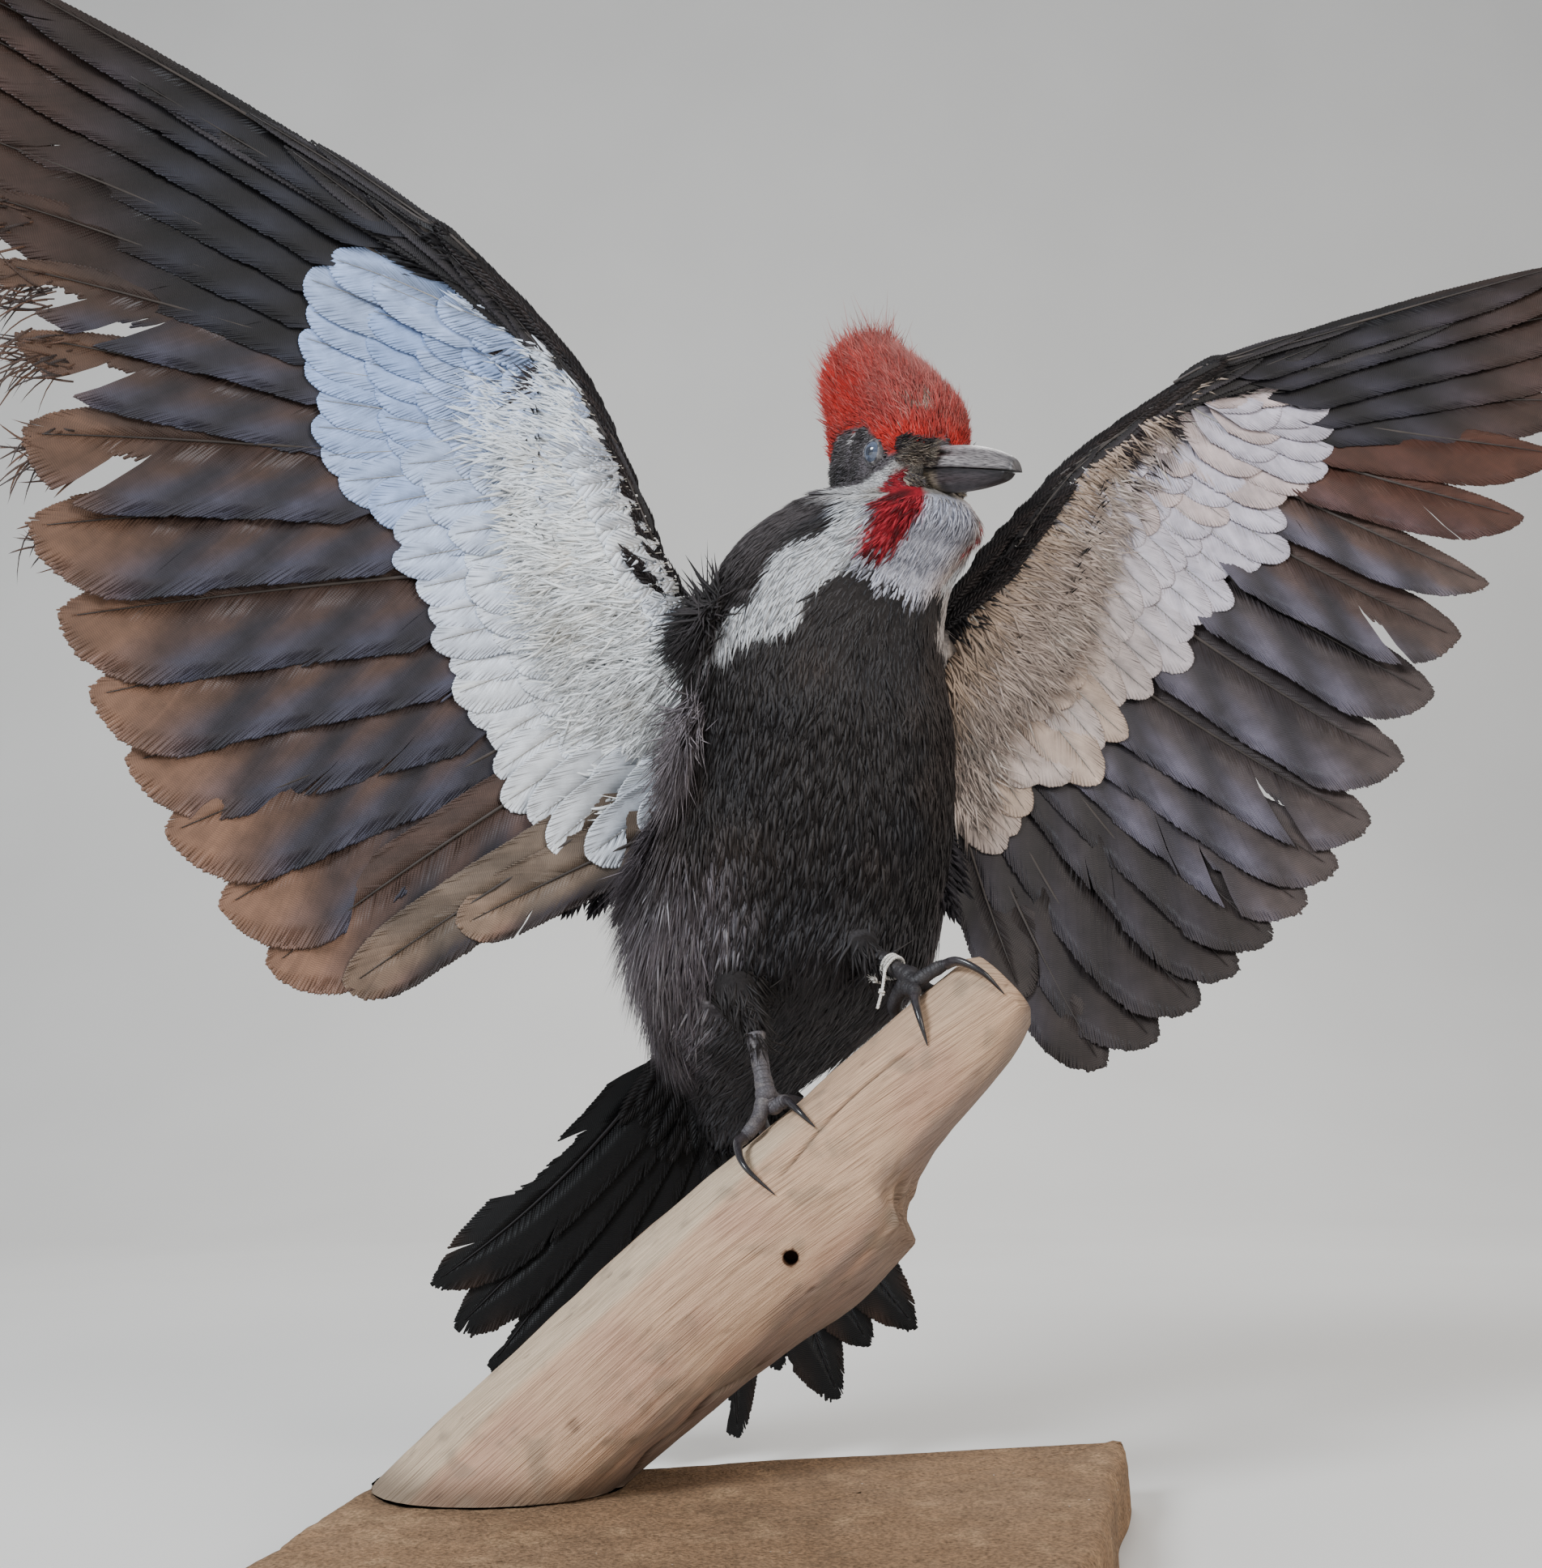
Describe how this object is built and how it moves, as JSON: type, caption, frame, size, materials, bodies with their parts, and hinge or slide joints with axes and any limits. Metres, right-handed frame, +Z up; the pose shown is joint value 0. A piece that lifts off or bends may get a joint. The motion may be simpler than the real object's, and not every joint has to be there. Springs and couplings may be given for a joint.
{
  "type": "pileated woodpecker mount",
  "caption": "Life-size mounted cock woodpecker with a red crest and raised, spread wings, perched on a leaning driftwood limb fixed to a rough slab.",
  "frame": {"origin": "middle of the slab's flat underside, where the mount stands on a table", "axes": "+Z up; the bird faces -Y and a little to +X, with its right wing towards -X and its left wing towards +X"},
  "size_m": [0.6648, 0.2634, 0.5381],
  "materials": {
    "claw_horn": "satin horn, dark grey",
    "bill_horn": "satin horn, mid grey with a dark cutting edge",
    "eye_glass": "glossy, blue grey",
    "scaled_skin": "dull scaled skin, dark grey",
    "slab": "rough and unfinished, sandy tan",
    "driftwood": "weathered, pale tan with darker grain",
    "string": "white cotton string",
    "red_plumage": "soft red feathers",
    "wing_plumage": "feathers, slate with a white lining",
    "tail_plumage": "stiff black feathers",
    "neck_plumage": "soft black feathers with a white stripe",
    "head_plumage": "short feathers, grey, white and red",
    "body_plumage": "soft hair-like charcoal feathers"
  },
  "bodies": {
    "root": {"base": "slab", "bill_lower": "bill_horn", "bill_upper": "bill_horn", "branch": "driftwood", "claw_hind_left": "claw_horn", "claw_hind_right": "claw_horn", "claw_inner_left": "claw_horn", "claw_inner_right": "claw_horn", "claw_outer_left": "claw_horn", "claw_outer_right": "claw_horn", "claw_rear_left": "claw_horn", "claw_rear_right": "claw_horn", "crest": "red_plumage", "eye_left": "eye_glass", "eye_right": "eye_glass", "foot_left": "scaled_skin", "foot_right": "scaled_skin", "head": "head_plumage", "leg_string": "string", "neck": "neck_plumage", "tail": "tail_plumage", "thigh_left": "body_plumage", "thigh_right": "body_plumage", "trunk": "body_plumage", "wing_inner_left": "wing_plumage", "wing_inner_right": "wing_plumage", "wing_outer_left": "wing_plumage", "wing_outer_right": "wing_plumage"}
  },
  "joints": []
}
